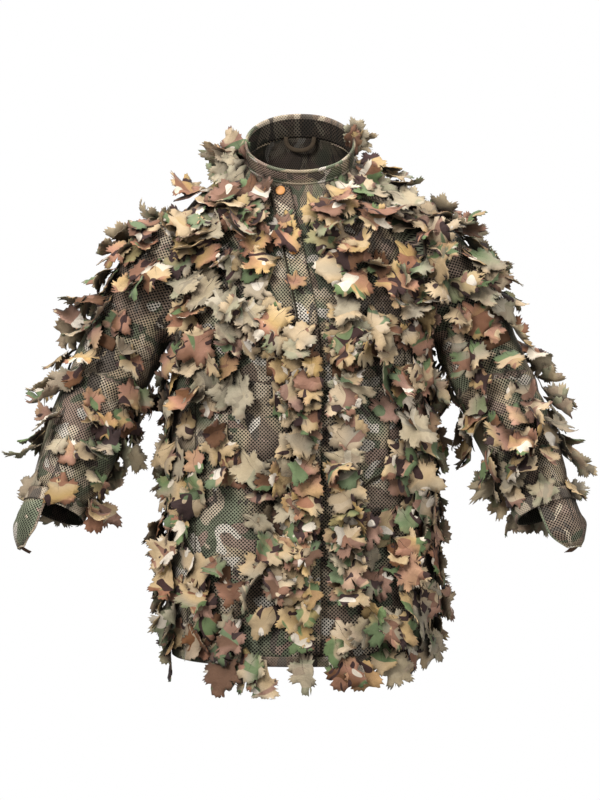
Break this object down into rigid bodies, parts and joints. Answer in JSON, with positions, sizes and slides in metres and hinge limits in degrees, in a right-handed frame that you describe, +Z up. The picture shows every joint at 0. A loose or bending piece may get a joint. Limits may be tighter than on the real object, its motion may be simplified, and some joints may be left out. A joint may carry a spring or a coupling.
{
  "type": "ghillie jacket",
  "caption": "Leaf-covered camouflage mesh jacket in its worn shape, with a standing collar, a snap front placket, fabric webbing loops, long sleeves and mesh hand covers.",
  "frame": {"origin": "inside the neck, 30 mm under the centre of the neck seam and on the mid plane, where the wearer's neck comes out", "axes": "+Z up, +X the wearer's left, -Y the front"},
  "size_m": [0.9204, 0.3316, 0.8909],
  "materials": {
    "camo_mesh": "printed camouflage mesh",
    "leaf_cloth": "laser-cut printed cloth",
    "binding_tape": "woven tape",
    "brown_webbing": "woven webbing",
    "lining_cloth": "dark mesh",
    "snap_cap": "matte",
    "snap_metal": "antiqued"
  },
  "bodies": {
    "torso": {"front_panel_left": "camo_mesh", "front_panel_right": "camo_mesh", "back_panel": "camo_mesh", "side_panel_left": "camo_mesh", "side_panel_right": "camo_mesh", "shoulder_yoke_back": "camo_mesh", "shoulder_yoke_front_left": "camo_mesh", "shoulder_yoke_front_right": "camo_mesh", "collar_stand": "camo_mesh", "collar_lining": "lining_cloth", "collar_edge_binding": "binding_tape", "neck_seam_tape": "binding_tape", "hem_binding": "binding_tape", "under_placket_upper": "camo_mesh", "placket_fold_upper": "camo_mesh", "under_placket_lower": "camo_mesh", "placket_fold_lower": "camo_mesh", "snap_studs": "snap_metal", "chest_tapes": "brown_webbing", "foliage_loops_tan": "binding_tape", "foliage_loops_brown": "brown_webbing", "pocket_panel_right": "camo_mesh", "pocket_panel_left": "camo_mesh", "pocket_welts": "camo_mesh", "sleeve_head_left": "camo_mesh", "sleeve_head_right": "camo_mesh", "leaves_front_left": "leaf_cloth", "leaves_front_right": "leaf_cloth", "leaves_back": "leaf_cloth", "leaves_side_left": "leaf_cloth", "leaves_side_right": "leaf_cloth", "leaves_yoke": "leaf_cloth"},
    "placket_upper_body": {"placket_upper": "camo_mesh", "snap_caps_upper": "snap_cap", "snap_sockets_upper": "snap_metal", "leaves_placket_upper": "leaf_cloth"},
    "placket_lower_body": {"placket_lower": "camo_mesh", "snap_caps_lower": "snap_cap", "snap_sockets_lower": "snap_metal", "leaves_placket_lower": "leaf_cloth"},
    "hang_loop_body": {"hang_loop": "brown_webbing"},
    "upper_sleeve_left_body": {"upper_sleeve_left": "camo_mesh", "elbow_left": "camo_mesh", "leaves_upper_sleeve_left": "leaf_cloth", "sleeve_tape_left": "brown_webbing"},
    "forearm_left_body": {"forearm_sleeve_left": "camo_mesh", "cuff_band_left": "camo_mesh", "leaves_forearm_left": "leaf_cloth"},
    "hand_cover_left_body": {"hand_cover_left": "camo_mesh", "finger_tab_left": "brown_webbing"},
    "upper_sleeve_right_body": {"upper_sleeve_right": "camo_mesh", "elbow_right": "camo_mesh", "leaves_upper_sleeve_right": "leaf_cloth", "sleeve_tape_right": "brown_webbing"},
    "forearm_right_body": {"forearm_sleeve_right": "camo_mesh", "cuff_band_right": "camo_mesh", "leaves_forearm_right": "leaf_cloth"},
    "hand_cover_right_body": {"hand_cover_right": "camo_mesh", "finger_tab_right": "brown_webbing"}
  },
  "joints": [
    {"name": "shoulder_left", "type": "hinge", "parent": "torso", "child": "upper_sleeve_left_body", "pos_m": [0.2, 0, -0.105], "axis": [0, -1, 0], "range_deg": [0, 45], "deforming": ["sleeve_head_left"]},
    {"name": "elbow_left", "type": "hinge", "parent": "upper_sleeve_left_body", "child": "forearm_left_body", "pos_m": [0.32, -0.024, -0.339], "axis": [-0.903, 0, -0.4296], "range_deg": [0, 80], "deforming": ["elbow_left"]},
    {"name": "hand_cover_fold_left", "type": "hinge", "parent": "forearm_left_body", "child": "hand_cover_left_body", "pos_m": [0.42015, -0.11566, -0.50588], "axis": [-0.7274, -0.6851, 0.0383], "range_deg": [0, 120]},
    {"name": "shoulder_right", "type": "hinge", "parent": "torso", "child": "upper_sleeve_right_body", "pos_m": [-0.2, 0, -0.105], "axis": [0, 1, 0], "range_deg": [0, 45], "deforming": ["sleeve_head_right"]},
    {"name": "elbow_right", "type": "hinge", "parent": "upper_sleeve_right_body", "child": "forearm_right_body", "pos_m": [-0.32, -0.024, -0.339], "axis": [-0.903, 0, 0.4296], "range_deg": [0, 80], "deforming": ["elbow_right"]},
    {"name": "hand_cover_fold_right", "type": "hinge", "parent": "forearm_right_body", "child": "hand_cover_right_body", "pos_m": [-0.4346, -0.09313, -0.51061], "axis": [-0.2945, 0.9085, -0.2964], "range_deg": [0, 120]},
    {"name": "placket_upper_open", "type": "hinge", "parent": "torso", "child": "placket_upper_body", "pos_m": [-0.01413, -0.08036, -0.01445], "axis": [-0.1953, 0.2702, 0.9428], "range_deg": [0, 90]},
    {"name": "placket_lower_open", "type": "hinge", "parent": "torso", "child": "placket_lower_body", "pos_m": [0.03341, -0.13859, -0.23986], "axis": [-0.0001, 0.0288, 0.9996], "range_deg": [0, 90]},
    {"name": "hang_loop_flip", "type": "hinge", "parent": "torso", "child": "hang_loop_body", "pos_m": [0, 0.04767, 0.07255], "axis": [-1, 0, 0], "range_deg": [0, 80]}
  ]
}
